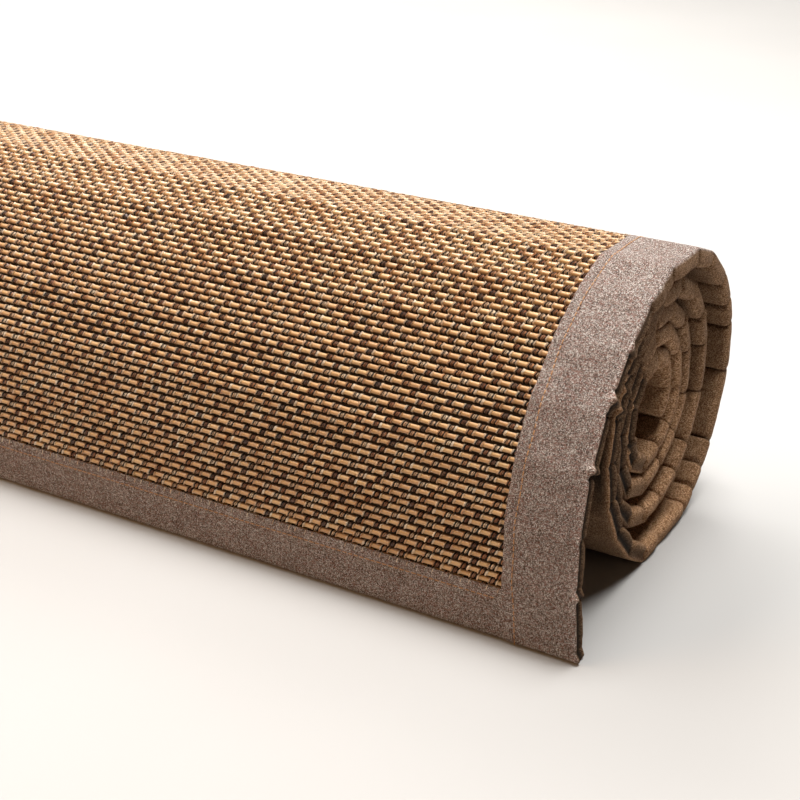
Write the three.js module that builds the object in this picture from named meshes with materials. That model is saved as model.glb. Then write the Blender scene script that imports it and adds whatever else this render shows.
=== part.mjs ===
import * as THREE from 'three';

// A rolled bamboo rug. Millimetres, +Z up, the roll's axis along X.
// The outer end of the rug hangs from the top of the roll down its front, which is -Y.

// Driving sizes
const RUG_WIDTH = 1400;      // along the roll
const MAT = 8.4;             // woven bamboo with its backing
const CLOTH = 1.0;           // binding cloth
const GAP = 0.3;             // between two pieces
const EDGE_PAD = 4.0;        // cloth turned in at a bound edge
const SIDE_FACE = 50;        // side binding on the bamboo face
const SIDE_BACK = 46;        // side binding on the back
const OUTER_END = [38.5, 34];   // end binding of the loose end, on the face and on the back
const CORE_END = [16, 11];      // end binding of the inner end
const EDGE = MAT + 2 * (CLOTH + GAP);   // thickness over the binding

// Roll
const AXIS_HEIGHT = 107;
const AXIS_BACK = 26.4;      // from the middle of the bounding box to the roll's axis
const AXIS_SIDE = 2.9;       // from the middle of the bounding box to the middle of the outer turn
const RECESS = [0, 4.3, 8.6, 9.6, 10.6, 11.6];   // how far each turn lies back from the near end

// Radius of the rug's outer face at eight clock positions, 45 degrees apart.
// They run from the top over the back to the floor and up the front.
const CLOCK = ['top', 'topBack', 'back', 'lowBack', 'floor', 'lowFront', 'front', 'topFront'];
const TURNS = [
  { top: 107.8, topBack: 107, back: 114, lowBack: 112, floor: 116, lowFront: 106, front: 107, topFront: 100,
    folds: [12, 30, 52, 67, 79, 99, 127, 138, 148, 158, 184, 197, 214, 233, 252, 270, 287, 304, 322, 341] },
  { top: 91, topBack: 77, back: 73, lowBack: 73, floor: 80, lowFront: 90, front: 91.5, topFront: 85,
    folds: [3, 26, 50, 73, 105, 137, 158, 180, 200, 218, 238, 258, 278, 298, 318, 339] },
  { top: 74, topBack: 57, back: 50.5, lowBack: 49, floor: 54, lowFront: 73, front: 76.5, topFront: 70,
    folds: [3, 30, 62, 104, 142, 176, 204, 230, 252, 274, 295, 316, 339] },
  { top: 58.5, topBack: 42.5, back: 36.5, lowBack: 34.5, floor: 38.5, lowFront: 55, front: 62, topFront: 55,
    folds: [5, 40, 92, 146, 184, 212, 238, 263, 288, 314, 340] },
  { top: 42, topBack: 23, back: 16, lowBack: 15, floor: 20, lowFront: 30, front: 36, topFront: 34,
    folds: [12, 66] },
];
const LAST_ANGLE = 155;      // clock angle where the inner end of the rug lies

// The loose outer end, from its edge on the floor up to the top of the roll: distance in front
// of the roll's axis, height over the floor, and how far it hangs askew toward the near end.
const FLAP = [
  { front: 165, height: 0, askew: 7 },
  { front: 165, height: 44, askew: 4 },
  { front: 157, height: 82, askew: 1 },
  { front: 144.5, height: 120, askew: 0 },
  { front: 124, height: 153, askew: 0 },
  { front: 94, height: 181.5, askew: 0 },
  { front: 61, height: 202, askew: 0 },
  { front: 26, height: 213.5, askew: 0 },
];

// Folds and the soft edge
const SHOULDER = 6.5;        // flat run beside a fold
const PUFF = 1.9;            // padding of a facet on the back of the binding
const EAR = 5.0;             // cloth bunched outward at a fold

const BAMBOO = new THREE.MeshStandardMaterial({ color: '#b98d57', roughness: 0.62, metalness: 0 });
const LINEN = new THREE.MeshStandardMaterial({ color: '#84705f', roughness: 0.93, metalness: 0 });

function turnRadius(turn, position) {
  const index = turn * CLOCK.length + position;
  if (index < 0) return 120;
  const row = TURNS[Math.min(Math.floor(index / CLOCK.length), TURNS.length - 1)];
  return row[CLOCK[index % CLOCK.length]];
}

// Smooth radius at a clock angle of a turn
function radiusAt(turn, angle) {
  const step = Math.floor(angle / 45);
  const t = angle / 45 - step;
  const [a, b, c, d] = [-1, 0, 1, 2].map((k) => turnRadius(turn, step + k));
  return b + 0.5 * t * (c - a + t * (2 * a - 5 * b + 4 * c - d + t * (3 * (b - c) + d - a)));
}

function recessAt(turns) {
  const whole = Math.floor(turns);
  return THREE.MathUtils.lerp(RECESS[whole], RECESS[whole + 1], turns - whole);
}

function rollPoint(turn, angle) {
  const radius = radiusAt(turn, angle);
  const turned = THREE.MathUtils.degToRad(angle);
  return {
    y: AXIS_BACK + radius * Math.sin(turned),
    z: Math.max(0, AXIS_HEIGHT + radius * Math.cos(turned)),
    shift: -recessAt(turn + angle / 360),
  };
}

// Corners of the rug's outer face, from its edge on the floor to the core
function foldCorners() {
  const corners = FLAP.map((row) => ({ y: AXIS_BACK - row.front, z: row.height, shift: row.askew }));
  TURNS.forEach((row, turn) => row.folds.forEach((angle) => corners.push(rollPoint(turn, angle))));
  corners.push(rollPoint(TURNS.length - 1, LAST_ANGLE));
  return corners;
}

function between(a, b, t) {
  return { y: a.y + (b.y - a.y) * t, z: a.z + (b.z - a.z) * t, shift: a.shift + (b.shift - a.shift) * t };
}

function spacing(a, b) {
  return Math.hypot(b.y - a.y, b.z - a.z);
}

// Outward direction of a flat run of the rug
function outward(a, b) {
  const length = spacing(a, b);
  return { ny: -(b.z - a.z) / length, nz: (b.y - a.y) / length };
}

// Sections along the rug: a shoulder on each side of every fold and the fold itself
function rugSections(startCut, endCut) {
  const corners = foldCorners();
  const sections = [];
  const last = corners.length - 1;
  const first = outward(corners[0], corners[1]);
  sections.push({ ...between(corners[0], corners[1], startCut / spacing(corners[0], corners[1])), ...first, fold: 0 });
  for (let i = 1; i < last; i += 1) {
    const [before, at, after] = [corners[i - 1], corners[i], corners[i + 1]];
    const [n0, n1] = [outward(before, at), outward(at, after)];
    const back = Math.min(SHOULDER, spacing(before, at) * 0.42);
    const ahead = Math.min(SHOULDER, spacing(at, after) * 0.42);
    const s0 = between(at, before, back / spacing(at, before));
    const s1 = between(at, after, ahead / spacing(at, after));
    const middle = { y: (s0.y + 2 * at.y + s1.y) / 4, z: (s0.z + 2 * at.z + s1.z) / 4, shift: at.shift };
    const length = Math.hypot(n0.ny + n1.ny, n0.nz + n1.nz);
    sections.push({ ...s0, ...n0, fold: 0 });
    sections.push({ ...middle, ny: (n0.ny + n1.ny) / length, nz: (n0.nz + n1.nz) / length, fold: 1 });
    sections.push({ ...s1, ...n1, fold: 0 });
  }
  const end = outward(corners[last - 1], corners[last]);
  const rest = endCut / spacing(corners[last], corners[last - 1]);
  sections.push({ ...between(corners[last], corners[last - 1], rest), ...end, fold: 0 });
  return sections;
}

// Place a point of the rug: along the roll, and through its thickness
function place(section, x, depth) {
  return [x, section.y + section.ny * depth, section.z + section.nz * depth];
}

function meshOf(name, rings, faces, material) {
  const geometry = new THREE.BufferGeometry();
  geometry.setAttribute('position', new THREE.Float32BufferAttribute(rings.flat(2), 3));
  geometry.setIndex(faces);
  geometry.computeVertexNormals();
  const mesh = new THREE.Mesh(geometry, material);
  mesh.name = name;
  return mesh;
}

// Quads joining two neighbouring rings along the listed point pairs
function joinRings(faces, base, next, pairs) {
  for (const [i, j] of pairs) {
    faces.push(base + i, base + j, next + j, base + i, next + j, next + i);
  }
}

function closedPairs(count) {
  return Array.from({ length: count }, (_, i) => [i, (i + 1) % count]);
}

function flipped(faces) {
  const turned = [];
  for (let i = 0; i < faces.length; i += 3) turned.push(faces[i], faces[i + 2], faces[i + 1]);
  return turned;
}

// The bamboo mat: one thick sheet, rolled
function bambooMat() {
  const sections = rugSections(EDGE_PAD + GAP, EDGE_PAD + GAP);
  const inset = EDGE_PAD + GAP;
  const columns = 5;
  const rings = sections.map((section) => {
    const middle = AXIS_SIDE + section.shift;
    const xs = Array.from({ length: columns }, (_, k) => middle
      + THREE.MathUtils.lerp(-RUG_WIDTH / 2 + inset, RUG_WIDTH / 2 - inset, k / (columns - 1)));
    const top = xs.map((x) => place(section, x, -CLOTH - GAP));
    const bottom = xs.map((x) => place(section, x, -CLOTH - GAP - MAT));
    return [...top, ...bottom.reverse()];
  });
  const count = columns * 2;
  const faces = [];
  for (let r = 0; r + 1 < rings.length; r += 1) {
    joinRings(faces, r * count, (r + 1) * count, closedPairs(count));
  }
  const lastBase = (rings.length - 1) * count;
  for (let k = 0; k + 1 < columns; k += 1) {
    const [a, b, c, d] = [k, k + 1, count - 2 - k, count - 1 - k];
    faces.push(a, c, b, a, d, c);
    faces.push(lastBase + a, lastBase + b, lastBase + c, lastBase + a, lastBase + c, lastBase + d);
  }
  return meshOf('bamboo_mat', rings, faces, BAMBOO);
}

// Cross-section of a side binding: [distance in from the edge, depth below the outer face].
// The outer skin comes first, then the skin that lies on the mat.
function sideProfile(fold) {
  const pad = PUFF * (1 - fold);
  const ear = EAR * fold;
  return [
    [SIDE_FACE, 0], [8, 0], [3, -0.9], [0.6, -3.4], [0, -EDGE / 2],
    [0.6 - ear * 0.5, -EDGE + 3.4], [3 - ear, -EDGE + 0.9],
    [9, -EDGE - pad], [22, -EDGE - pad], [SIDE_BACK, -EDGE],
    [SIDE_BACK, -EDGE + CLOTH], [EDGE_PAD, -EDGE + CLOTH], [EDGE_PAD, -CLOTH], [SIDE_FACE, -CLOTH],
  ];
}
const OUTER_SKIN = 10;       // points of the profile that make its outer skin

// A side binding folded round one long edge of the mat, closed at both its ends
function sideBinding(name, side) {
  const open = rugSections(EDGE_PAD, EDGE_PAD);
  const whole = rugSections(0, 0);
  const sections = [whole[0], ...open, whole[whole.length - 1]];
  const rings = sections.map((section) => sideProfile(section.fold).map(([inward, depth]) => {
    const edge = AXIS_SIDE + section.shift + side * RUG_WIDTH / 2;
    return place(section, edge - side * inward, depth);
  }));
  const count = rings[0].length;
  const faces = [];
  const wall = [...closedPairs(OUTER_SKIN).slice(0, -1), [OUTER_SKIN - 1, OUTER_SKIN],
    [OUTER_SKIN, count - 1], [count - 1, 0]];
  for (let r = 0; r + 1 < rings.length; r += 1) {
    const atEnd = r === 0 || r === rings.length - 2;
    joinRings(faces, r * count, (r + 1) * count, atEnd ? wall : closedPairs(count));
  }
  const contour = sideProfile(0).map(([inward, depth]) => new THREE.Vector2(inward, depth));
  const skin = [...Array(OUTER_SKIN + 1).keys(), count - 1];
  const skinFill = fill(skin, contour);
  const pocket = [OUTER_SKIN, OUTER_SKIN + 1, OUTER_SKIN + 2, count - 1];
  const pocketFill = fill(pocket, contour);
  addCap(faces, skinFill, 0, true);
  addCap(faces, skinFill, (rings.length - 1) * count, false);
  addCap(faces, pocketFill, count, true);
  addCap(faces, pocketFill, (rings.length - 2) * count, false);
  return meshOf(name, rings, side > 0 ? faces : flipped(faces), LINEN);
}

// Triangles that fill a contour, oriented as the contour's own points run
function fill(indices, contour) {
  const points = indices.map((i) => contour[i]);
  const clockwise = THREE.ShapeUtils.isClockWise(points);
  const triangles = THREE.ShapeUtils.triangulateShape(points, []);
  return triangles.map(([a, b, c]) => {
    const area = (points[b].x - points[a].x) * (points[c].y - points[a].y)
      - (points[b].y - points[a].y) * (points[c].x - points[a].x);
    const same = (area < 0) === clockwise;
    return same ? [indices[a], indices[b], indices[c]] : [indices[a], indices[c], indices[b]];
  });
}

function addCap(faces, triangles, base, reversed) {
  for (const [a, b, c] of triangles) {
    faces.push(base + a, base + (reversed ? c : b), base + (reversed ? b : c));
  }
}

// An end binding folded round one short edge of the mat, between the side bindings.
// The corner is the rug's end; the next corner gives the way into the rug.
function endBinding(name, corner, next, side, [face, back]) {
  const contour = [
    [face, 0], [8, 0], [2.6, -0.8], [0, -3.2], [0, -EDGE + 3.2], [2.6, -EDGE + 0.8], [8, -EDGE],
    [back, -EDGE], [back, -EDGE + CLOTH], [EDGE_PAD, -EDGE + CLOTH], [EDGE_PAD, -CLOTH], [face, -CLOTH],
  ];
  const shape = new THREE.Shape(contour.map(([inward, depth]) => new THREE.Vector2(inward, depth)));
  const length = RUG_WIDTH - 2 * (SIDE_FACE + GAP);
  const geometry = new THREE.ExtrudeGeometry(shape, { depth: length, bevelEnabled: false });
  const slant = side * (next.shift - corner.shift) / spacing(corner, next);
  geometry.applyMatrix4(new THREE.Matrix4().makeShear(0, slant, 0, 0, 0, 0));
  const mesh = new THREE.Mesh(geometry, LINEN);
  const inward = new THREE.Vector3(0, next.y - corner.y, next.z - corner.z).normalize();
  const normal = new THREE.Vector3(side, 0, 0).cross(inward);
  const basis = new THREE.Matrix4().makeBasis(inward, normal, new THREE.Vector3(side, 0, 0));
  mesh.name = name;
  mesh.quaternion.setFromRotationMatrix(basis);
  mesh.position.set(AXIS_SIDE + corner.shift - side * length / 2, corner.y, corner.z);
  return mesh;
}

const corners = foldCorners();
const rug = new THREE.Group();
rug.name = 'rolled_bamboo_rug';
rug.add(bambooMat());
rug.add(sideBinding('side_binding_near', 1));
rug.add(sideBinding('side_binding_far', -1));
rug.add(endBinding('end_binding_outer', corners[0], corners[1], 1, OUTER_END));
rug.add(endBinding('end_binding_core', corners.at(-1), corners.at(-2), -1, CORE_END));

export default rug;
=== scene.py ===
"""A rolled bamboo rug with cloth-bound edges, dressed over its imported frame.

The rug is one strip that starts at its loose end on the floor, hangs down the front of the roll,
and winds round it to the core. Every piece is laid out along that strip: s is the distance from
the loose end, depth is measured down from the outer face, and inward is the distance from a long
edge. The tables and this layout are in millimetres, and meshes are made in metres.
"""
import math

import bpy
import numpy as np
from mathutils import Matrix, Vector


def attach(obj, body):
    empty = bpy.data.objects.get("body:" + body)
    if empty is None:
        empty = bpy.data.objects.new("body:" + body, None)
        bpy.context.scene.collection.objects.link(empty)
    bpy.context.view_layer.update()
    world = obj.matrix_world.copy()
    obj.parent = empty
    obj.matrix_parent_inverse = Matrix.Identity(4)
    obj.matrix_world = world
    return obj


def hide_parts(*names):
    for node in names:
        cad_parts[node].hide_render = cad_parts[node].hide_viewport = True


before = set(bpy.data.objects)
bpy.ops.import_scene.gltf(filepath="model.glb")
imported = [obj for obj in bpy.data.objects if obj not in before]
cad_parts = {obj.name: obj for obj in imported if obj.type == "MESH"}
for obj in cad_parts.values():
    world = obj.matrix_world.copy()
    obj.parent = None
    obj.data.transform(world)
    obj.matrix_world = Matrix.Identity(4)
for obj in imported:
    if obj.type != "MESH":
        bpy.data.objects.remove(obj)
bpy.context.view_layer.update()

MM = 0.001
RANDOM = np.random.default_rng(7)

# Rug
RUG_WIDTH = 1400.0
EDGE = 11.0                 # thickness over the binding
SIDE_FACE = 50.0            # side binding on the bamboo face
SIDE_BACK = 46.0            # side binding on the back
OUTER_END = (38.5, 34.0)    # end binding of the loose end, on the face and on the back
CORE_END = (16.0, 11.0)     # end binding of the inner end
MAT_INSET = 4.3             # from the bound edge to the mat's own edge

# Roll
AXIS_HEIGHT = 107.0
AXIS_BACK = 26.4
AXIS_SIDE = 2.9
RECESS = (0.0, 4.3, 8.6, 9.6, 10.6, 11.6)   # how far each turn lies back from the near end
LAST_ANGLE = 155.0          # clock angle of the rug's inner end

# The loose outer end: distance in front of the axis, height, lean toward the near end
FLAP = (
    (165.0, 0.0, 7.0),
    (165.0, 44.0, 4.0),
    (157.0, 82.0, 1.0),
    (144.5, 120.0, 0.0),
    (124.0, 153.0, 0.0),
    (94.0, 181.5, 0.0),
    (61.0, 202.0, 0.0),
    (26.0, 213.5, 0.0),
)
# Radius of each turn at the clock angles 0, 45 ... 315, from the top over the back
RADIUS_STEP = 45
RADII = (
    (107.8, 107.0, 114.0, 112.0, 116.0, 106.0, 107.0, 100.0),
    (91.0, 77.0, 73.0, 73.0, 80.0, 90.0, 91.5, 85.0),
    (74.0, 57.0, 50.5, 49.0, 54.0, 73.0, 76.5, 70.0),
    (58.5, 42.5, 36.5, 34.5, 38.5, 55.0, 62.0, 55.0),
    (42.0, 23.0, 16.0, 15.0, 20.0, 30.0, 36.0, 34.0),
)
# Clock angles of each turn's folds
FOLDS = (
    (12, 30, 52, 67, 79, 99, 127, 138, 148, 158, 184, 197, 214, 233, 252, 270, 287, 304, 322, 341),
    (3, 26, 50, 73, 105, 137, 158, 180, 200, 218, 238, 258, 278, 298, 318, 339),
    (3, 30, 62, 104, 142, 176, 204, 230, 252, 274, 295, 316, 339),
    (5, 40, 92, 146, 184, 212, 238, 263, 288, 314, 340),
    (12, 66),
)
OUTSIDE_RADIUS = 120.0      # radius that leads into the first turn

# Weave
ROW_PITCH = 5.0             # from splint to splint
CELL = 12.93                # from one tied joint of a splint to the next
BRICK = 0.494               # part of a cell that the next row is shifted by
WOVEN_LENGTH = 745.0        # splints are modelled as far as the rug can be seen
ROWS_IN_A_PIECE = 40
# Stations along one cell: distance, swell of the splint's section.
# A bar with a raised lip at both its ends, then a knot between two bands of black thread.
STATIONS = (
    (0.5, 1.36),
    (1.05, 1.0),
    (7.35, 1.0),
    (7.9, 1.36),
    (8.7, 0.62),
    (10.3, 1.24),
    (11.9, 0.62),
)
# Coloured stretches of the same cell, as parts of its length
LIPS = ((0.0, 0.075), (0.575, 0.642), (0.985, 1.0))
KNOTS = ((0.725, 0.800), (0.818, 0.880))
THREADS = ((0.642, 0.725), (0.800, 0.818), (0.880, 0.985))
THREAD_SLANT = 0.6          # how far a ring leans from one side of its splint to the other
# How uneven the weave is: spreads in mm, and of the section's swell as a part of it
ROW_SPREAD = 0.12           # of a row along the rug
BRICK_SPREAD = 0.35         # of a row along its splints
JOINT_SPREAD = 0.22         # of a joint along its splint
SIDEWAYS_SPREAD = 0.10      # of one cell of a splint to the side
SWELL_SPREAD = 0.035
# A splint's section: across, depth
SPLINT_SECTION = ((-1.6, -3.7), (-1.2, -1.0), (1.2, -1.0), (1.6, -3.7))
FELT_FACE = -3.5            # depth of the felt under the splints
FELT_BACK = -9.7
FELT_BACK_AT_EDGE = -6.4    # the felt is thinner where the side binding is folded over it
FELT_UNDER_FOLD = 34.0      # width of that thinner edge
FELT_SLOPE = 4.0            # the felt reaches its full thickness within this width
FELT_STEP = 6.0

# Section of a side binding, from the turned-in edge on the bamboo over the rug's edge to the back.
# The columns are inward, depth, share of the facets' swelling, share of an ear of cloth, and
# share of the hollow that the edge has along the front.
SIDE_SECTION = (
    (48.4, -1.6, 0.0, 0.0, 0.0),
    (49.6, -1.3, 0.0, 0.0, 0.0),
    (50.0, -0.8, 0.0, 0.0, 0.0),
    (49.7, -0.25, 0.0, 0.0, 0.0),
    (48.9, 0.05, 0.0, 0.0, 0.0),
    (47.2, 0.15, 0.0, 0.0, 0.0),
    (44.5, 0.12, 0.0, 0.0, 0.0),
    (42.8, 0.0, 0.0, 0.0, 0.0),
    (42.2, -0.3, 0.0, 0.0, 0.0),
    (41.5, 0.0, 0.0, 0.0, 0.0),
    (39.0, 0.12, 0.0, 0.0, 0.0),
    (34.0, 0.15, 0.0, 0.0, 0.0),
    (28.0, 0.15, 0.0, 0.0, 0.0),
    (22.0, 0.15, 0.0, 0.0, 0.0),
    (16.0, 0.15, 0.0, 0.0, 0.0),
    (10.0, 0.15, 0.0, 0.0, 0.0),
    (5.5, 0.1, 0.0, 0.05, 0.0),
    (2.4, 0.05, 0.0, 0.25, 0.0),
    (0.9, -0.25, 0.05, 0.5, 0.0),
    (0.2, -0.9, 0.15, 0.8, 0.0),
    (0.0, -1.9, 0.3, 1.0, 0.25),
    (0.0, -3.6, 0.5, 1.0, 0.85),
    (0.0, -5.6, 0.7, 0.95, 1.0),
    (0.0, -7.6, 0.85, 0.9, 0.85),
    (0.3, -9.2, 1.0, 0.8, 0.25),
    (1.2, -10.3, 1.0, 0.6, 0.0),
    (3.0, -10.9, 1.0, 0.4, 0.0),
    (6.0, -11.0, 1.0, 0.2, 0.0),
    (9.0, -11.0, 1.0, 0.05, 0.0),
    (13.0, -11.0, 1.0, 0.0, 0.0),
    (18.0, -11.0, 1.0, 0.0, 0.0),
    (24.0, -11.0, 1.0, 0.0, 0.0),
    (30.0, -11.0, 0.9, 0.0, 0.0),
    (36.0, -11.0, 0.7, 0.0, 0.0),
    (40.0, -11.0, 0.45, 0.0, 0.0),
    (42.0, -11.1, 0.3, 0.0, 0.0),
    (44.0, -11.0, 0.2, 0.0, 0.0),
    (45.7, -10.9, 0.1, 0.0, 0.0),
    (46.0, -10.4, 0.0, 0.0, 0.0),
    (45.6, -9.8, 0.0, 0.0, 0.0),
)
HOLLOW = 1.9                # depth of the hollow edge where the rug faces the front
# Painted light and shade of the side binding: from -1, painted shade deep in a crease, to 1, a
# painted highlight. A table's rows are the distance from the loose end and the tone there.
# Painted shade in the creases at the folds and in the hollow edge along the front
CREASE_PAINTED_SHADE = -0.85
HOLLOW_PAINTED_SHADE = -1.0
# Painted light along the padded edge, away from the front
PAD_PAINTED_LIGHT = (
    (0.0, 0.1), (330.0, 0.1), (560.0, 0.3), (600.0, 0.9), (820.0, 0.9), (870.0, 0.1), (1090.0, 0.1),
    (1180.0, 0.5), (1220.0, 0.9), (1360.0, 0.9), (1420.0, 0.15), (1560.0, 0.15), (1640.0, 0.6),
    (2250.0, 0.5),
)
# Painted shade on the outer face along the front, deep between two turns
GAP_PAINTED_SHADE = ((0.0, 0.0), (775.0, 0.0), (815.0, -0.95), (2250.0, -0.95))
# Painted highlight on the corner of the edge along the front, and painted shade where it is below 0
CORNER_PAINTED_LIGHT_AND_SHADE = (
    (0.0, 0.2), (60.0, 0.6), (190.0, 0.6), (260.0, 0.0), (700.0, 0.9), (890.0, 0.9),
    (1200.0, -0.4), (1900.0, -0.4), (2000.0, 1.0), (2150.0, 1.0),
)
PAINTED_SHADING_STRENGTH = 0.95        # how much a tone of 1 or -1 changes the cloth's colour
YARN = 0.43                 # from yarn to yarn of the linen
CLOTH_STEP = 1.6            # spacing of the binding's sections along the rug
# Padding of the facets between the folds: distance along the rug, swelling
FACET_SWELL = ((0.0, 1.4), (280.0, 1.8), (700.0, 2.6), (1200.0, 2.6), (1900.0, 3.0), (2250.0, 4.4))
FULL_FACET = 26.0           # a shorter facet swells less
FOLD_GROOVE = 4.2           # depth of the crease at a fold
LEAST_BEND = 4.0            # a fold of fewer degrees has no crease
FULL_BEND = 15.0            # from this bend on the crease has its full depth
END_ROUNDING = 4.0          # a binding closes over the rug's end within this length
PAINTED_SHADE_FROM = 610.0         # from here on the rolled-up face has the browner inside colour, painted shade
# Ears of cloth that stick out of the edge beside a fold: distance from the loose end, size,
# spread. A pinch lies on the side that the sign of the spread points to.
EARS = (
    (3.0, 2.0, 2.4),
    (46.0, 2.3, 2.8),
    (84.0, 1.0, -2.4),
    (127.0, 3.2, -3.0),
    (172.0, 3.2, 3.0),
    (207.0, 1.8, 3.4),
    (256.0, 1.2, 4.0),
    (859.0, 3.0, -2.4),
    (871.0, 2.0, 2.2),
    (2086.0, 2.2, 2.2),
    (2119.0, 2.8, 2.4),
)
FOLD_EARS = (0.1, 1.2)      # least and most cloth standing out beside a fold inside the roll
OUTSIDE_LENGTH = 880.0      # up to here the roll's outline stays smooth

# Topstitching
STITCH_FROM_EDGE = 7.8      # stitch line to the binding's inner edge
STITCH_PITCH = 4.3
STITCH_LENGTH = 3.5
STITCH_RADIUS = 0.42


# The path of the rug

def turn_radius(turn, position):
    """Radius at a place of the table counted from its first turn. Past its end the last turn repeats."""
    in_a_turn = len(RADII[0])
    index = turn * in_a_turn + position
    if index < 0:
        return OUTSIDE_RADIUS
    return RADII[min(index // in_a_turn, len(RADII) - 1)][index % in_a_turn]


def radius_at(turn, angle):
    """Radius of a turn at a clock angle, on a smooth cubic curve through the table's radii."""
    step = int(angle // RADIUS_STEP)
    t = angle / RADIUS_STEP - step
    a, b, c, d = (turn_radius(turn, step + k) for k in (-1, 0, 1, 2))
    return b + 0.5 * t * (c - a + t * (2 * a - 5 * b + 4 * c - d + t * (3 * (b - c) + d - a)))


def roll_point(turn, angle):
    """Place across the roll and shift along it of the outer face: y, z, shift."""
    radius = radius_at(turn, angle)
    turned = math.radians(angle)
    recess = np.interp(turn + angle / 360, range(len(RECESS)), RECESS)
    height = max(0.0, AXIS_HEIGHT + radius * math.cos(turned))
    return AXIS_BACK + radius * math.sin(turned), height, -recess


def fold_corners():
    """Corners of the outer face from the loose end to the core: rows of y, z, shift."""
    rows = [(AXIS_BACK - front, height, lean) for front, height, lean in FLAP]
    for turn, angles in enumerate(FOLDS):
        rows += [roll_point(turn, angle) for angle in angles]
    rows.append(roll_point(len(FOLDS) - 1, LAST_ANGLE))
    return np.array(rows)


class Path:
    """The rug's outer face seen along the roll, with its folds softened."""

    SOFTNESS = 2.0          # spread of the softening, in mm along the rug
    REACH = 12              # half width of the softening
    MARGIN = 14             # straight run added beyond both ends

    def __init__(self):
        corners = fold_corners()
        steps = np.diff(corners[:, :2], axis=0)
        lengths = np.hypot(steps[:, 0], steps[:, 1])
        self.folds = np.concatenate([[0.0], np.cumsum(lengths)])
        self.length = self.folds[-1]
        self.bends = self._bends(steps)
        self.grid = np.arange(-self.MARGIN, self.length + self.MARGIN)
        place = np.stack([self._along(corners, column) for column in range(3)], axis=1)
        reach = np.arange(-self.REACH, self.REACH + 1)
        weight = np.exp(-0.5 * (reach / self.SOFTNESS) ** 2)
        weight /= weight.sum()
        around = ((self.REACH, self.REACH), (0, 0))
        padded = np.pad(place, around, mode="reflect", reflect_type="odd")
        soft = [np.convolve(padded[:, column], weight, "valid") for column in range(3)]
        self.y, self.z, self.shift = soft
        self.ty, self.tz = np.gradient(self.y), np.gradient(self.z)
        size = np.hypot(self.ty, self.tz)
        self.ty, self.tz = self.ty / size, self.tz / size

    def _along(self, corners, column):
        """One column of the corners at every grid point, carried on straight past both ends."""
        values = np.interp(self.grid, self.folds, corners[:, column])
        first = (corners[1] - corners[0])[column] / (self.folds[1] - self.folds[0])
        last = (corners[-1] - corners[-2])[column] / (self.folds[-1] - self.folds[-2])
        values += first * np.minimum(self.grid, 0)
        return values + last * np.maximum(self.grid - self.length, 0)

    @staticmethod
    def _bends(steps):
        """Bend at every corner, in degrees."""
        headings = np.unwrap(np.arctan2(steps[:, 1], steps[:, 0]))
        return np.concatenate([[0.0], np.degrees(np.abs(np.diff(headings))), [0.0]])

    def at(self, s):
        """Columns y, z, shift, normal y, normal z at distances s."""
        columns = (self.y, self.z, self.shift, -self.tz, self.ty)
        return [np.interp(s, self.grid, column) for column in columns]

    def points(self, s, x, depth, across=0.0):
        """Points of the rug in metres. x is along the roll, across runs along the rug."""
        y, z, shift, ny, nz = self.at(s)
        point_y = y + ny * depth + nz * across
        point_z = np.maximum(z + nz * depth - ny * across, 0.0)
        return np.stack(np.broadcast_arrays(AXIS_SIDE + shift + x, point_y, point_z), axis=-1) * MM


PATH = Path()


# Meshes

def add_attribute(mesh, name, values):
    """One number or one vector for every point of the mesh."""
    kind = "FLOAT_VECTOR" if values.ndim == 2 else "FLOAT"
    layer = mesh.attributes.new(name, kind, "POINT")
    layer.data.foreach_set("vector" if values.ndim == 2 else "value", values.astype(np.float32).ravel())


def sharpen_rows(mesh, columns):
    """Sharp edges along every row of a grid, so that its sections keep crisp ends."""
    ends = np.empty(len(mesh.edges) * 2, dtype=np.int32)
    mesh.edges.foreach_get("vertices", ends)
    ends = ends.reshape(-1, 2)
    layer = mesh.attributes.new("sharp_edge", "BOOLEAN", "EDGE")
    layer.data.foreach_set("value", np.abs(ends[:, 0] - ends[:, 1]) < columns)


def grid_piece(name, points, material, attributes=(), flip=False, close=False, cap=False):
    """A piece of one or more grids of quads: points has the shape (grids, rows, columns, 3).

    Closed rows are rings, and capped ones have their first and last ring filled from side to side.
    """
    grids, rows, columns = points.shape[:3]
    index = np.arange(grids * rows * columns).reshape(grids, rows, columns)
    if close:
        index = np.concatenate([index, index[:, :, :1]], axis=2)
    corners = (index[:, :-1, :-1], index[:, 1:, :-1], index[:, 1:, 1:], index[:, :-1, 1:])
    quads = np.stack(corners, axis=-1).reshape(-1, 4)
    if cap:
        k = np.arange(columns // 2 - 1)
        across = np.stack([k, k + 1, columns - 2 - k, columns - 1 - k], axis=1)
        quads = np.concatenate([quads, index[0, 0][across], index[0, -1][across][:, ::-1]])
    if flip:
        quads = quads[:, ::-1]
    return piece_from_quads(name, points.reshape(-1, 3), quads, material, attributes)


def piece_from_quads(name, points, quads, material, attributes=()):
    """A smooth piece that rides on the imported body, made from its points and quads."""
    mesh = bpy.data.meshes.new(name)
    mesh.vertices.add(len(points))
    mesh.vertices.foreach_set("co", points.astype(np.float32).ravel())
    mesh.loops.add(quads.size)
    mesh.loops.foreach_set("vertex_index", quads.astype(np.int32).ravel())
    mesh.polygons.add(len(quads))
    mesh.polygons.foreach_set("loop_start", np.arange(0, quads.size, 4, dtype=np.int32))
    mesh.polygons.foreach_set("use_smooth", np.ones(len(quads), dtype=bool))
    mesh.update(calc_edges=True)
    for attribute, values in attributes:
        add_attribute(mesh, attribute, values)
    mesh.materials.append(material)
    piece = bpy.data.objects.new(name, mesh)
    bpy.context.scene.collection.objects.link(piece)
    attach(piece, "root")
    return piece


# Materials

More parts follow.
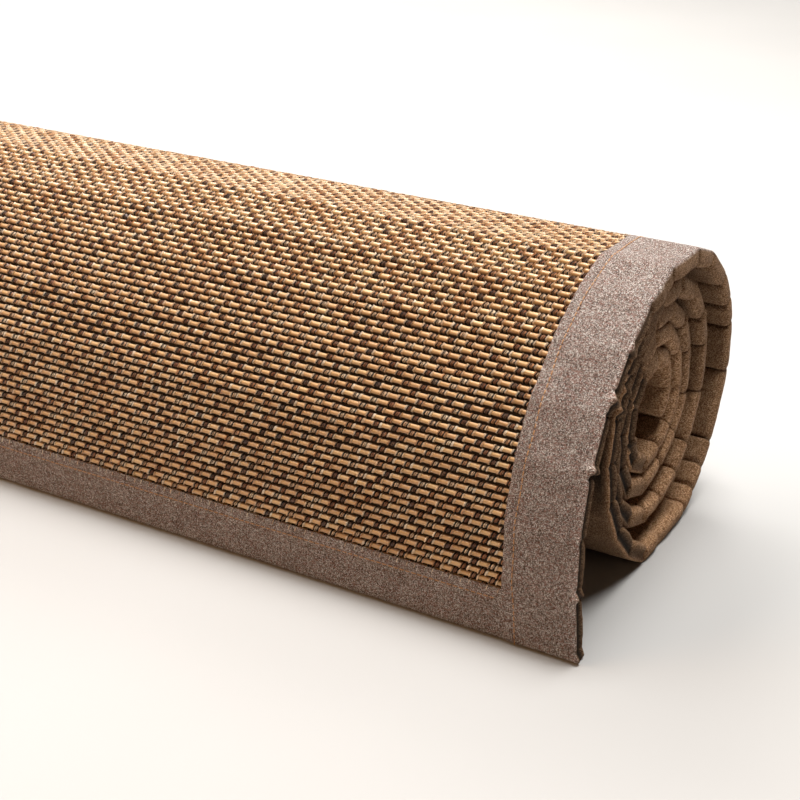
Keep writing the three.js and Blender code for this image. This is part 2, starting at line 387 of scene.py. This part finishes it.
class Shader:
    """A node material with a Principled shader, built up call by call."""

    def __init__(self, name, **settings):
        self.material = bpy.data.materials.new(name)
        self.material.use_nodes = True
        self.tree = self.material.node_tree
        self.surface = self.tree.nodes["Principled BSDF"]
        for socket, value in settings.items():
            self.surface.inputs[socket.replace("_", " ")].default_value = value

    def add(self, kind, inputs=None, **settings):
        """A node with its properties and its inputs set. An input is a value or a socket."""
        node = self.tree.nodes.new("ShaderNode" + kind)
        for key, value in settings.items():
            setattr(node, key, value)
        for key, value in (inputs or {}).items():
            self.feed(node.inputs[key], value)
        return node

    def feed(self, socket, value):
        if isinstance(value, bpy.types.NodeSocket):
            self.tree.links.new(value, socket)
        else:
            socket.default_value = value

    def math(self, operation, *values, clamp=False):
        node = self.add("Math", dict(enumerate(values)), operation=operation, use_clamp=clamp)
        return node.outputs[0]

    def attribute(self, name):
        return self.add("Attribute", attribute_name=name).outputs["Vector"]

    def parts(self, vector):
        return self.add("SeparateXYZ", {0: vector}).outputs

    def vector(self, x, y, z):
        return self.add("CombineXYZ", {0: x, 1: y, 2: z}).outputs[0]

    def noise(self, vector, scale=1.0, detail=2.0, roughness=0.5):
        inputs = {"Vector": vector, "Scale": scale, "Detail": detail, "Roughness": roughness}
        return self.add("TexNoise", inputs).outputs["Fac"]

    def white(self, vector):
        return self.add("TexWhiteNoise", {"Vector": vector}).outputs["Value"]

    def ramp(self, factor, stops, interpolation="LINEAR"):
        """Colour ramp. A stop is a position and an RGB colour or a grey value."""
        node = self.add("ValToRGB", {0: factor})
        ramp = node.color_ramp
        ramp.interpolation = interpolation
        while len(ramp.elements) < len(stops):
            ramp.elements.new(0.5)
        for element, (position, colour) in zip(ramp.elements, stops):
            element.position = position
            element.color = (*colour, 1) if isinstance(colour, tuple) else (colour, colour, colour, 1)
        return node.outputs[0]

    def inside(self, value, spans):
        """1 where the value lies in one of the spans, and 0 elsewhere."""
        stops = {0.0: 0.0}
        for start, end in spans:
            stops[start] = 1.0
            stops[end] = 0.0
        return self.ramp(value, tuple(stops.items()), "CONSTANT")

    def mix(self, factor, first, second, blend="MIX"):
        node = self.add("Mix", data_type="RGBA", blend_type=blend)
        for position, value in ((0, factor), (6, first), (7, second)):
            self.feed(node.inputs[position], (*value, 1) if isinstance(value, tuple) else value)
        return node.outputs[2]

    def span(self, value, low, high, to_low=0.0, to_high=1.0):
        return self.add("MapRange", {0: value, 1: low, 2: high, 3: to_low, 4: to_high}).outputs[0]

    def bump(self, height, distance, strength=1.0):
        inputs = {"Height": height, "Distance": distance, "Strength": strength}
        node = self.add("Bump", inputs)
        self.tree.links.new(node.outputs[0], self.surface.inputs["Normal"])

    def colour(self, socket):
        self.tree.links.new(socket, self.surface.inputs["Base Color"])

    def rough(self, socket):
        self.tree.links.new(socket, self.surface.inputs["Roughness"])


def bamboo_material():
    """Split bamboo with pale lips, knots and black thread. Its attribute is along, row, across."""
    shader = Shader("woven_bamboo_splints", Roughness=0.5, Coat_Weight=1.0, Coat_Roughness=0.36)
    along, row, across = shader.parts(shader.attribute("weave"))[:3]
    cells = shader.math("DIVIDE", along, CELL)
    cell = shader.math("FLOOR", cells)
    place = shader.math("FRACT", cells)
    cell_tone = shader.white(shader.vector(cell, row, 0.0))
    row_tone = shader.white(shader.vector(row, 3.0, 0.0))
    tan = shader.ramp(cell_tone, (
        (0.0, (0.47, 0.245, 0.080)),
        (0.3, (0.55, 0.300, 0.102)),
        (0.75, (0.61, 0.360, 0.132)),
        (1.0, (0.69, 0.450, 0.192)),
    ))
    tan = shader.mix(shader.math("MULTIPLY", row_tone, 0.35), tan, (0.47, 0.245, 0.080))
    fibre = shader.noise(shader.vector(
        shader.math("MULTIPLY", along, 0.16),
        shader.math("MULTIPLY", row, 7.31),
        shader.math("MULTIPLY", across, 5.0)), 1.0, 3.0, 0.6)
    tan = shader.mix(shader.span(fibre, 0.35, 0.75, 0.0, 0.55), tan, (0.37, 0.170, 0.048))
    third = shader.math("FLOOR", shader.math("MULTIPLY", place, 3.0))
    ring_tone = shader.white(shader.vector(cell, row, third))
    lip = shader.ramp(ring_tone, (
        (0.0, (0.46, 0.200, 0.080)),
        (0.3, (0.74, 0.47, 0.26)),
        (1.0, (0.93, 0.78, 0.58)),
    ))
    knot = shader.ramp(ring_tone, (
        (0.0, (0.060, 0.026, 0.016)),
        (0.3, (0.27, 0.095, 0.038)),
        (0.6, (0.52, 0.240, 0.100)),
        (1.0, (0.88, 0.70, 0.48)),
    ))
    is_lip = shader.inside(place, LIPS)
    is_knot = shader.inside(place, KNOTS)
    is_thread = shader.inside(place, THREADS)
    colour = shader.mix(is_lip, tan, lip)
    colour = shader.mix(is_knot, colour, knot)
    colour = shader.mix(is_thread, colour, (0.008, 0.008, 0.010))
    # Painted shade on both sides of every splint
    side = shader.math("ABSOLUTE", across)
    colour = shader.mix(shader.span(side, 0.76, 1.0, 0.0, 0.95), colour, (0.010, 0.007, 0.006))
    shader.colour(colour)
    shader.rough(shader.span(is_thread, 0.0, 1.0, 0.42, 0.8))
    relief = shader.math("MULTIPLY", fibre, 0.5)
    relief = shader.math("ADD", relief, is_lip)
    relief = shader.math("ADD", relief, shader.math("MULTIPLY", is_knot, 0.6))
    shader.bump(relief, 0.00025, 0.6)
    return shader.material


def backing_material():
    """Dark felt under the splints and on the rug's back. Its attribute is along, distance."""
    shader = Shader("mat_backing_felt", Roughness=0.95)
    along, s, _ = shader.parts(shader.attribute("weave"))[:3]
    fuzz = shader.noise(shader.vector(along, s, 0.0), 1.6, 4.0, 0.7)
    shader.colour(shader.ramp(fuzz, ((0.3, (0.012, 0.010, 0.009)), (0.7, (0.05, 0.035, 0.025)))))
    shader.bump(fuzz, 0.0004, 0.5)
    return shader.material


def linen_material():
    """Melange linen, a plain weave of mixed yarns.

    Its attribute "cloth" is across, along and the share of the browner inside colour, which is painted
    shade. Its attribute "tone" is painted light and shade: below 0 the cloth is painted darker as shade,
    and above 0 it is painted paler as light. A piece without it has the plain colour.
    """
    shader = Shader("binding_linen", Roughness=0.95, Specular_IOR_Level=0.25)
    u, v, inner = shader.parts(shader.attribute("cloth"))[:3]
    column = shader.math("DIVIDE", u, YARN)
    line = shader.math("DIVIDE", v, YARN)
    warp_yarn = shader.math("FLOOR", column)
    weft_yarn = shader.math("FLOOR", line)
    warp = shader.noise(shader.vector(
        shader.math("MULTIPLY", warp_yarn, 7.7), shader.math("MULTIPLY", line, 0.16), 0.0), 1.0, 1.0, 0.5)
    weft = shader.noise(shader.vector(
        shader.math("MULTIPLY", column, 0.16), shader.math("MULTIPLY", weft_yarn, 7.7), 9.0), 1.0, 1.0, 0.5)
    crossing = shader.math("MODULO", shader.math("ADD", warp_yarn, weft_yarn), 2.0)
    over = shader.math("ABSOLUTE", crossing)
    streak = shader.span(over, 0.0, 1.0, weft, warp)
    speck = shader.white(shader.vector(warp_yarn, weft_yarn, 2.0))
    slow = shader.noise(shader.vector(
        shader.math("MULTIPLY", u, 0.06), shader.math("MULTIPLY", v, 0.06), 4.0), 1.0, 3.0)
    tone = shader.span(streak, 0.25, 0.75, -0.02, 0.34)
    tone = shader.math("ADD", tone, shader.math("MULTIPLY", speck, 0.48))
    tone = shader.math("ADD", tone, shader.math("MULTIPLY", over, 0.2))
    tone = shader.math("ADD", tone, shader.span(slow, 0.3, 0.7, -0.03, 0.03))
    outside = shader.ramp(tone, (
        (0.15, (0.022, 0.012, 0.009)),
        (0.38, (0.097, 0.062, 0.049)),
        (0.53, (0.212, 0.163, 0.138)),
        (0.68, (0.44, 0.382, 0.342)),
        (0.86, (0.83, 0.79, 0.735)),
    ))
    # Browner colour for the turned-in cloth and the rolled-up face: painted shade
    inside = shader.ramp(tone, (
        (0.15, (0.060, 0.026, 0.010)),
        (0.38, (0.132, 0.065, 0.030)),
        (0.53, (0.215, 0.118, 0.059)),
        (0.68, (0.32, 0.190, 0.102)),
        (0.86, (0.52, 0.34, 0.205)),
    ))
    rust = shader.white(shader.vector(
        shader.math("FLOOR", shader.math("MULTIPLY", column, 0.3)), weft_yarn, 6.0))
    rust = shader.math("MULTIPLY", shader.math("GREATER_THAN", rust, 0.76), 0.55)
    outside = shader.mix(rust, outside, (0.24, 0.105, 0.080))
    cloth = shader.mix(inner, outside, inside)
    # Painted light and shade from the tone attribute
    painted_light_and_shade = shader.add("Attribute", attribute_name="tone").outputs["Fac"]
    shade = shader.math("MULTIPLY_ADD", painted_light_and_shade, PAINTED_SHADING_STRENGTH, 1.0)
    shader.colour(shader.mix(1.0, cloth, shader.vector(shade, shade, shade), "MULTIPLY"))
    hump_u = shader.math("ABSOLUTE", shader.math("SINE", shader.math("MULTIPLY", column, math.pi)))
    hump_v = shader.math("ABSOLUTE", shader.math("SINE", shader.math("MULTIPLY", line, math.pi)))
    shader.bump(shader.span(over, 0.0, 1.0, hump_v, hump_u), 0.0002, 0.7)
    return shader.material


def thread_material():
    """Twisted rust thread. Its attribute starts with the distance along the thread."""
    shader = Shader("rust_stitching", Roughness=0.6, Sheen_Weight=0.2)
    along = shader.parts(shader.attribute("cloth"))[0]
    twist = shader.math("SINE", shader.math("MULTIPLY", along, 7.0))
    shader.colour(shader.ramp(shader.span(twist, -1.0, 1.0), (
        (0.0, (0.36, 0.15, 0.05)),
        (1.0, (0.60, 0.33, 0.14)),
    )))
    shader.bump(twist, 0.0001, 0.6)
    return shader.material


# The mat

def splint_rows():
    """The woven splints as rows of bars with tied joints, split into several pieces."""
    first = OUTER_END[0] - 2.0
    count = int((WOVEN_LENGTH - first) / ROW_PITCH)
    half = RUG_WIDTH / 2 - SIDE_FACE + 3.5
    cells = int(2 * half / CELL) + 2
    offsets = np.array([distance for distance, _ in STATIONS])
    swells = np.array([swell for _, swell in STATIONS])
    nominal = (np.arange(cells)[:, None] * CELL + offsets).ravel()
    section = np.array(SPLINT_SECTION)
    material = bamboo_material()
    pieces = []
    for start in range(0, count, ROWS_IN_A_PIECE):
        rows = np.arange(start, min(start + ROWS_IN_A_PIECE, count))
        shape = (len(rows), len(nominal), len(section))
        s = first + rows * ROW_PITCH + RANDOM.normal(0, ROW_SPREAD, len(rows))
        brick = np.where(rows % 2, BRICK, 0.0) * CELL + RANDOM.normal(0, BRICK_SPREAD, len(rows))
        x = nominal - half - CELL + brick[:, None] + RANDOM.normal(0, JOINT_SPREAD, shape[:2])
        x = np.clip(x, -half, half)
        swell = np.tile(swells, cells) * (1 + RANDOM.normal(0, SWELL_SPREAD, shape[:2]))
        sideways = RANDOM.normal(0, SIDEWAYS_SPREAD, (len(rows), cells)).repeat(len(STATIONS), axis=1)
        across = section[:, 0] * swell[:, :, None] + sideways[:, :, None]
        rise = section[0, 1] + (section[:, 1] - section[0, 1]) * swell[:, :, None]
        slant = THREAD_SLANT * section[:, 0] / section[-1, 0]
        points = PATH.points(s[:, None, None], x[:, :, None] + slant, rise, across)
        weave = np.empty((*shape, 3))
        weave[..., 0] = nominal[:, None]
        weave[..., 1] = rows[:, None, None]
        weave[..., 2] = section[:, 0] / section[-1, 0]
        name = f"splints_{start // ROWS_IN_A_PIECE}"
        piece = grid_piece(name, points, material, [("weave", weave.reshape(-1, 3))])
        sharpen_rows(piece.data, len(section))
        pieces.append(piece)
    return pieces


def mat_backing():
    """The felt that the splints are tied to, a closed thin sheet over the rug's whole length."""
    last = PATH.length - MAT_INSET
    s = np.append(np.arange(MAT_INSET, last - FELT_STEP / 3, FELT_STEP), last)
    half = RUG_WIDTH / 2 - MAT_INSET
    under_fold = half - FELT_UNDER_FOLD
    full = under_fold - FELT_SLOPE
    columns = np.concatenate([[-half, -under_fold], np.linspace(-full, full, 9), [under_fold, half]])
    x = np.concatenate([columns, columns[::-1]])
    back = np.where(np.abs(columns) >= under_fold, FELT_BACK_AT_EDGE, FELT_BACK)
    depth = np.concatenate([np.full(len(columns), FELT_FACE), back])
    points = PATH.points(s[:, None], x[None, :], depth[None, :])
    weave = np.empty((*points.shape[:2], 3))
    weave[..., 0] = x
    weave[..., 1] = s[:, None]
    weave[..., 2] = 0.0
    attributes = [("weave", weave.reshape(-1, 3))]
    piece = grid_piece("mat_backing", points[None], backing_material(), attributes, close=True, cap=True)
    return piece


# Bindings

def fold_profile(s):
    """Swelling of the cloth between the folds and bunching beside them, in mm at distances s."""
    folds = PATH.folds
    index = np.clip(np.searchsorted(folds, s) - 1, 0, len(folds) - 2)
    facet = folds[index + 1] - folds[index]
    t = np.clip((s - folds[index]) / facet, 0, 1)
    swell = along_rug(FACET_SWELL, s)
    swell *= np.clip(facet / FULL_FACET, 0.35, 1.0) * (1 - np.abs(2 * t - 1) ** 3.5)
    bunch = np.zeros_like(s)
    for place, size, spread in EARS:
        bunch += size * ear(s - place, spread)
    chance = np.random.default_rng(11)
    for fold, bend in zip(folds, PATH.bends):
        size = chance.uniform(*FOLD_EARS)
        side = chance.choice((-1.0, 1.0))
        if bend < LEAST_BEND:
            continue
        groove = FOLD_GROOVE * min(1.0, bend / FULL_BEND)
        swell -= groove * np.exp(-((s - fold) / 1.5) ** 2)
        if fold > OUTSIDE_LENGTH:
            bunch += size * ear(s - fold - side * 3.0, side * 2.4)
    return swell, bunch


def ear(distance, spread):
    """Height of an ear of cloth with a sharp pinch beside it."""
    bulge = np.exp(-(distance / spread) ** 2)
    return bulge - 0.35 * np.exp(-((distance - 1.9 * spread) / (0.5 * spread)) ** 2)


def along_rug(table, s):
    """Values of a table of distance and value, at the distances s."""
    return np.interp(s, *np.array(table).T)


def painted_binding_light_and_shade(s, section, hollow):
    """Painted light and shade of a side binding: painted shade in its creases, hollows and the gaps between
    turns, painted light on its pads and corners.
    """
    crease = np.zeros_like(s)
    for fold, bend in zip(PATH.folds, PATH.bends):
        crease = np.maximum(crease, min(1.0, bend / FULL_BEND) * np.exp(-((s - fold) / 1.7) ** 2))
    inward, depth, padded = section[:, 0], section[:, 1], section[:, 2]
    front = hollow.max(axis=1)
    corner = np.exp(-((depth + 0.7) / 0.7) ** 2) * (inward < 3)
    between = np.clip((inward - 1.5) / 2, 0, 1) * (depth > -0.5)
    pad_painted_light = along_rug(PAD_PAINTED_LIGHT, s) * (1 - front)
    corner_painted_light_and_shade = along_rug(CORNER_PAINTED_LIGHT_AND_SHADE, s) * front
    gap_painted_shade = along_rug(GAP_PAINTED_SHADE, s) * front
    tone = pad_painted_light[:, None] * padded + CREASE_PAINTED_SHADE * crease[:, None] * padded + HOLLOW_PAINTED_SHADE * hollow
    tone += corner_painted_light_and_shade[:, None] * corner + gap_painted_shade[:, None] * between
    return np.clip(tone, -1, 1)


def ripple(s, seed, waves):
    """A sum of waves with random phases: (length, height) pairs."""
    phases = np.random.default_rng(seed).uniform(0, 2 * math.pi, len(waves))
    total = np.zeros_like(s)
    for (length, height), phase in zip(waves, phases):
        total = total + height * np.sin(2 * math.pi * s / length + phase)
    return total


def section_normals(section):
    """Outward directions in the plane of inward and depth."""
    along = np.gradient(section[:, :2], axis=0)
    along /= np.linalg.norm(along, axis=1)[:, None]
    return np.stack([along[:, 1], -along[:, 0]], axis=1)


def side_places():
    """Distances at which a side binding has a section, closer together along the loose end."""
    hanging = np.arange(0.0, PATH.folds[len(FLAP)], CLOTH_STEP / 2)
    rolled = np.arange(hanging[-1], PATH.length, CLOTH_STEP)
    last = PATH.length - np.array([1.6, 0.9, 0.4, 0.0])
    return np.unique(np.concatenate([hanging, rolled, last]))


def side_surface(s, section, hollow, seed):
    """Inward and depth of a side binding at every point, swollen, creased and closed at its ends."""
    normals = section_normals(section)
    swell, bunch = fold_profile(s)
    swell = swell + ripple(s, seed, ((23.0, 0.22), (9.7, 0.12), (5.3, 0.06)))
    wave = ripple(s, seed + 1, ((61.0, 0.18), (17.0, 0.07), (7.1, 0.05)))[:, None]
    push = swell[:, None] * section[:, 2] * (1 - 0.8 * hollow)
    push = push + bunch[:, None] * section[:, 3] - HOLLOW * hollow
    stitched_edge = (section[:, 0] > 46.5) * (section[:, 1] > -2)
    inward = section[:, 0] + push * normals[:, 0] + wave * 1.2 * stitched_edge
    depth = section[:, 1] + push * normals[:, 1] + wave * 0.5 * (section[:, 2] == 0)
    from_end = np.minimum(s, PATH.length - s) / END_ROUNDING
    closing = np.sqrt(np.clip(1 - (1 - np.minimum(from_end, 1)) ** 2, 0, 1))
    return inward, -EDGE / 2 + (depth + EDGE / 2) * closing[:, None]


def side_binding(name, side, material):
    """A long edge's binding, a skin folded round the edge, and the width of its cloth."""
    section = np.array(SIDE_SECTION)
    s = side_places()
    facing_back = PATH.at(s)[3]
    hollow = np.clip((-facing_back - 0.2) / 0.5, 0, 1)[:, None] * section[:, 4]
    inward, depth = side_surface(s, section, hollow, 20 if side > 0 else 40)
    points = PATH.points(s[:, None], side * (RUG_WIDTH / 2 - inward), depth)
    lengths = np.hypot(*np.diff(section[:, :2], axis=0).T)
    # Share of the browner inside colour, painted shade: on the turned-in cloth and on the face rolled up
    # inside the roll
    turned_in = np.clip((-0.3 - section[:, 1]) / 1.8, 0, 1) * (section[:, 0] < 48)
    rolled_up = np.clip((s - PAINTED_SHADE_FROM) / 40, 0, 1)
    cloth = np.empty((*points.shape[:2], 3))
    cloth[..., 0] = np.concatenate([[0.0], np.cumsum(lengths)])
    cloth[..., 1] = s[:, None]
    cloth[..., 2] = np.maximum(turned_in, rolled_up[:, None])
    tone = painted_binding_light_and_shade(s, section, hollow)
    attributes = [("cloth", cloth.reshape(-1, 3)), ("tone", tone.ravel())]
    piece = grid_piece(name, points[None], material, attributes, flip=side < 0)
    return piece, lengths.sum()


def end_section(face, back):
    """Section of an end binding: inward from the rug's end, depth."""
    stitch = face - STITCH_FROM_EDGE
    return np.array((
        (face - 1.6, -1.7),
        (face - 0.3, -1.4),
        (face, -1.0),
        (face - 0.3, -0.6),
        (face - 1.2, -0.42),
        (face - 3.0, -0.35),
        (stitch + 0.7, -0.4),
        (stitch, -0.65),
        (stitch - 0.7, -0.4),
        (stitch * 0.6, -0.35),
        (7.0, -0.4),
        (4.0, -0.75),
        (2.0, -1.7),
        (0.6, -3.2),
        (0.0, -5.5),
        (0.6, -7.8),
        (2.0, -9.3),
        (4.0, -10.3),
        (7.0, -10.8),
        (back * 0.5, -11.0),
        (back - 3.0, -11.0),
        (back - 0.4, -10.9),
        (back, -10.4),
        (back - 0.6, -9.8),
    ))


def end_binding(name, at_start, face, back, material):
    """A short edge's binding, which runs under the side bindings at both its ends.

    Returned with it are the length and the width of its cloth.
    """
    section = end_section(face, back)
    half = RUG_WIDTH / 2 - SIDE_FACE + 3.0
    x = np.linspace(-half, half, 420 if at_start else 160)
    s = section[:, 0] if at_start else PATH.length - section[:, 0]
    wave = ripple(x, 60 if at_start else 61, ((90.0, 0.12), (31.0, 0.08), (8.3, 0.05)))
    depth = section[:, 1] + wave[:, None] * (section[:, 1] > -1.3)
    points = PATH.points(s[None, :], x[:, None], depth)
    lengths = np.hypot(*np.diff(section, axis=0).T)
    cloth = np.empty((*points.shape[:2], 3))
    cloth[..., 0] = x[:, None]
    cloth[..., 1] = np.concatenate([[0.0], np.cumsum(lengths)])
    # Share of the browner inside colour, painted shade, on the cloth's turned-in edge and back
    cloth[..., 2] = np.clip((-3.0 - section[:, 1]) / 3.0, 0, 1)
    piece = grid_piece(name, points[None], material, [("cloth", cloth.reshape(-1, 3))], flip=at_start)
    return piece, 2 * half, lengths.sum()


# Topstitching

def stitches(name, centres, directions, ups, material):
    """Short threads that dip into the cloth at both ends, as one piece."""
    turns = np.linspace(0, 2 * math.pi, 5, endpoint=False)
    rings = ((-0.5, -0.75, 0.6), (-0.3, 0.25, 1.0), (0.3, 0.25, 1.0), (0.5, -0.75, 0.6))
    aside = np.cross(directions, ups)
    points = np.empty((len(centres), len(rings), len(turns), 3))
    cloth = np.empty_like(points)
    for r, (place, lift, size) in enumerate(rings):
        middle = centres + (directions * place * STITCH_LENGTH + ups * lift * STITCH_RADIUS) * MM
        for k, turn in enumerate(turns):
            spoke = aside * math.cos(turn) + ups * math.sin(turn)
            points[:, r, k] = middle + spoke * STITCH_RADIUS * size * MM
            cloth[:, r, k] = (place * STITCH_LENGTH + turn * 0.25, 0, 0)
    piece = grid_piece(name, points, material, [("cloth", cloth.reshape(-1, 3))], close=True)
    return piece


def side_stitches(name, side, material):
    """The line of stitches along a side binding."""
    s = np.arange(3.0, PATH.length - 4.0, STITCH_PITCH)
    inward = SIDE_FACE - STITCH_FROM_EDGE + ripple(s, 80 if side > 0 else 81, ((140.0, 0.5), (37.0, 0.2)))
    x = side * (RUG_WIDTH / 2 - inward)
    centres = PATH.points(s, x, 0.0)
    ahead = PATH.points(s + 0.5, x, 0.0) - PATH.points(s - 0.5, x, 0.0)
    ahead /= np.linalg.norm(ahead, axis=1)[:, None]
    _, _, _, ny, nz = PATH.at(s)
    ups = np.stack([np.zeros_like(ny), ny, nz], axis=1)
    return stitches(name, centres, ahead, ups, material)


def end_stitches(name, s, material):
    """The line of stitches along an end binding, at the distance s from the loose end."""
    half = RUG_WIDTH / 2 - SIDE_FACE - 3.0
    x = np.arange(-half, half, STITCH_PITCH)
    line = np.full_like(x, s)
    centres = PATH.points(line, x, -0.4)
    _, _, _, ny, nz = PATH.at(line)
    ups = np.stack([np.zeros_like(ny), ny, nz], axis=1)
    return stitches(name, centres, np.tile((1.0, 0.0, 0.0), (len(x), 1)), ups, material)


# Studio

LENS = 69.4
SENSOR = 36.0
CAMERA_PLACE = (1.0066, -0.8677, 0.5572)
CAMERA_FORWARD = (-0.4506, 0.7799, -0.4344)
CAMERA_RIGHT = (0.8659, 0.5003, 0.0)
# Lights: name, place, target, size, power, colour
LIGHTS = (
    ("key_light", (0.8, 0.35, 2.2), (0.4, 0.0, 0.1), (1.1, 1.0), 74.0, (1.0, 0.99, 0.975)),
    ("top_light", (-0.9, 0.1, 2.1), (0.1, 0.0, 0.1), (2.4, 1.6), 36.0, (1.0, 0.99, 0.975)),
    ("back_light", (-1.0, 1.7, 1.7), (0.1, 0.0, 0.1), (2.0, 1.2), 64.0, (1.0, 0.98, 0.95)),
    ("front_light", (-1.6, -2.0, 1.2), (0.4, 0.0, 0.1), (1.6, 1.2), 34.0, (1.0, 0.58, 0.28)),
    ("end_light", (3.0, -0.6, 0.9), (0.7, 0.0, 0.1), (1.6, 1.0), 1.7, (1.0, 0.66, 0.42)),
)
SKY = (1.0, 0.80, 0.62)
SKY_STRENGTH = 0.04
FLOOR_TONES = ((0.3, (0.47, 0.462, 0.45)), (0.7, (0.49, 0.482, 0.47)))
FLOOR_HALF = 6.0


def camera():
    """The camera of the photograph."""
    data = bpy.data.cameras.new("camera")
    data.lens = LENS
    data.sensor_width = SENSOR
    data.clip_start = 0.05
    view = bpy.data.objects.new("camera", data)
    right = Vector(CAMERA_RIGHT).normalized()
    forward = Vector(CAMERA_FORWARD).normalized()
    up = right.cross(forward)
    basis = Matrix((right, up, -forward)).transposed().to_4x4()
    view.matrix_world = Matrix.Translation(Vector(CAMERA_PLACE)) @ basis
    bpy.context.scene.collection.objects.link(view)
    bpy.context.scene.camera = view


def area_light(name, place, target, size, power, colour):
    data = bpy.data.lights.new(name, "AREA")
    data.shape = "RECTANGLE"
    data.size, data.size_y = size
    data.energy = power
    data.color = colour
    light = bpy.data.objects.new(name, data)
    light.location = place
    light.rotation_euler = (Vector(target) - Vector(place)).to_track_quat("-Z", "Y").to_euler()
    bpy.context.scene.collection.objects.link(light)


def studio():
    """A pale floor, soft lights above and round the rug, and a weak warm sky."""
    shader = Shader("studio_floor", Roughness=0.9)
    grain = shader.noise(shader.add("TexCoord").outputs["Object"], 3.0, 2.0)
    shader.colour(shader.ramp(grain, FLOOR_TONES))
    mesh = bpy.data.meshes.new("studio_floor")
    far = FLOOR_HALF
    mesh.from_pydata([(-far, -far, 0), (far, -far, 0), (far, far, 0), (-far, far, 0)], [], [(0, 1, 2, 3)])
    mesh.materials.append(shader.material)
    floor = bpy.data.objects.new("studio_floor", mesh)
    bpy.context.scene.collection.objects.link(floor)
    for light in LIGHTS:
        area_light(*light)
    world = bpy.data.worlds.new("studio_world")
    world.use_nodes = True
    background = world.node_tree.nodes["Background"]
    background.inputs["Color"].default_value = (*SKY, 1.0)
    background.inputs["Strength"].default_value = SKY_STRENGTH
    bpy.context.scene.world = world
    bpy.context.scene.view_settings.view_transform = "Standard"


# Assembly

def declare(node):
    """Hides the imported solid that the pieces stand for."""
    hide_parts(node)


camera()
studio()
linen = linen_material()

backing = mat_backing()
woven = splint_rows()
declare("bamboo_mat")

thread = thread_material()
for end, side in (("near", 1), ("far", -1)):
    binding, width = side_binding(f"side_binding_{end}_cloth", side, linen)
    stitching = side_stitches(f"side_stitching_{end}", side, thread)
    declare(f"side_binding_{end}")

ENDS = (
    ("outer", True, OUTER_END, OUTER_END[0] - STITCH_FROM_EDGE),
    ("core", False, CORE_END, PATH.length - CORE_END[0] + STITCH_FROM_EDGE),
)
for end, at_start, (face, back), stitch_line in ENDS:
    binding, length, width = end_binding(f"end_binding_{end}_cloth", at_start, face, back, linen)
    stitching = end_stitches(f"end_stitching_{end}", stitch_line, thread)
    declare(f"end_binding_{end}")
